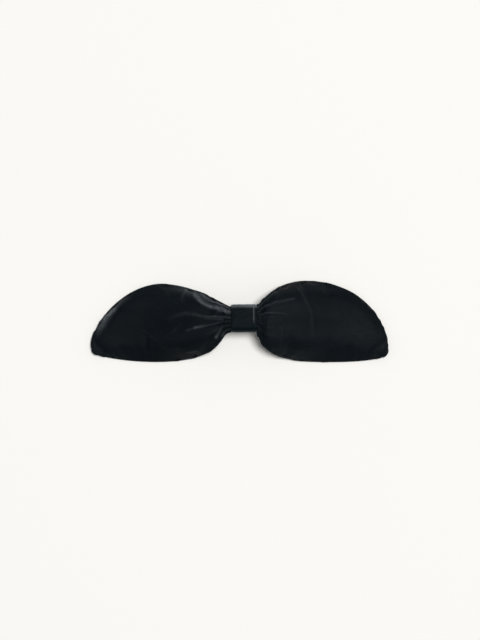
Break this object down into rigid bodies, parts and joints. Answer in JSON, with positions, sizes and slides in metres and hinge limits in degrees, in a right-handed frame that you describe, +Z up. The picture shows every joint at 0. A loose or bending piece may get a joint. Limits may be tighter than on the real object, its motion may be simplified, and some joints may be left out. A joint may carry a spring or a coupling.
{
  "type": "hair bow barrette",
  "caption": "Wide velvet bow with a narrow centre band, sewn to a long arched barrette clip with a hinged clasp arm and sprung catch.",
  "frame": {"origin": "on the surface that the clip and the lobes' rims rest on, under the middle of the bow's outline", "axes": "+X along the bow from the left lobe to the right lobe, +Y across it towards the rounder edges of the lobes, +Z up from the surface, out of the bow's face"},
  "size_m": [0.2078, 0.0569, 0.0221],
  "materials": {
    "velvet": "matte",
    "band_velvet": "matte",
    "interlining": "matte",
    "thread": "satin",
    "stamped_steel": "satin",
    "spring_steel": "gloss",
    "rivet_steel": "gloss"
  },
  "bodies": {
    "clip_base": {"back_plate": "stamped_steel", "hinge_bracket": "stamped_steel", "hinge_rivet": "rivet_steel", "hinge_pin": "rivet_steel", "catch_plate": "stamped_steel", "catch_rivet": "rivet_steel", "gathered_waist": "velvet", "binding_thread": "thread", "knot_band": "band_velvet", "band_stitches": "thread"},
    "clasp": {"clasp_arm": "stamped_steel"},
    "bar": {"tension_bar": "spring_steel"},
    "upper_finger": {"upper_prong": "spring_steel"},
    "lower_finger": {"lower_prong": "spring_steel"},
    "left_lobe": {"left_front_panel": "velvet", "left_back_panel": "velvet", "left_interlining": "interlining", "left_seam_thread": "thread"},
    "right_lobe": {"right_front_panel": "velvet", "right_back_panel": "velvet", "right_interlining": "interlining", "right_seam_thread": "thread"}
  },
  "joints": [
    {"name": "clasp_hinge", "type": "hinge", "parent": "clip_base", "child": "clasp", "pos_m": [-0.0324, 0.0021, 0.0026], "axis": [0, 1, 0], "range_deg": [0, 100]},
    {"name": "bar_press", "type": "hinge", "parent": "clip_base", "child": "bar", "pos_m": [-0.0331, 0.0021, 0.0056], "axis": [0, -1, 0], "range_deg": [0, 1.5], "stiffness_Nm_per_rad": 0.5},
    {"name": "upper_prong_squeeze", "type": "hinge", "parent": "clip_base", "child": "upper_finger", "pos_m": [0.03893, 0.005, 0.00836], "axis": [-0.9738, 0, 0.2272], "range_deg": [0, 8], "stiffness_Nm_per_rad": 0.02},
    {"name": "lower_prong_squeeze", "type": "hinge", "parent": "clip_base", "child": "lower_finger", "pos_m": [0.03893, -0.0008, 0.00836], "axis": [0.9738, 0, -0.2272], "range_deg": [0, 8], "stiffness_Nm_per_rad": 0.02},
    {"name": "left_lobe_flex", "type": "hinge", "parent": "clip_base", "child": "left_lobe", "pos_m": [-0.0102, 0.0021, 0.0176], "axis": [0, 1, 0], "range_deg": [0, 30], "stiffness_Nm_per_rad": 0.01},
    {"name": "right_lobe_flex", "type": "hinge", "parent": "clip_base", "child": "right_lobe", "pos_m": [0.0162, 0.0021, 0.0176], "axis": [0, -1, 0], "range_deg": [0, 30], "stiffness_Nm_per_rad": 0.01}
  ]
}
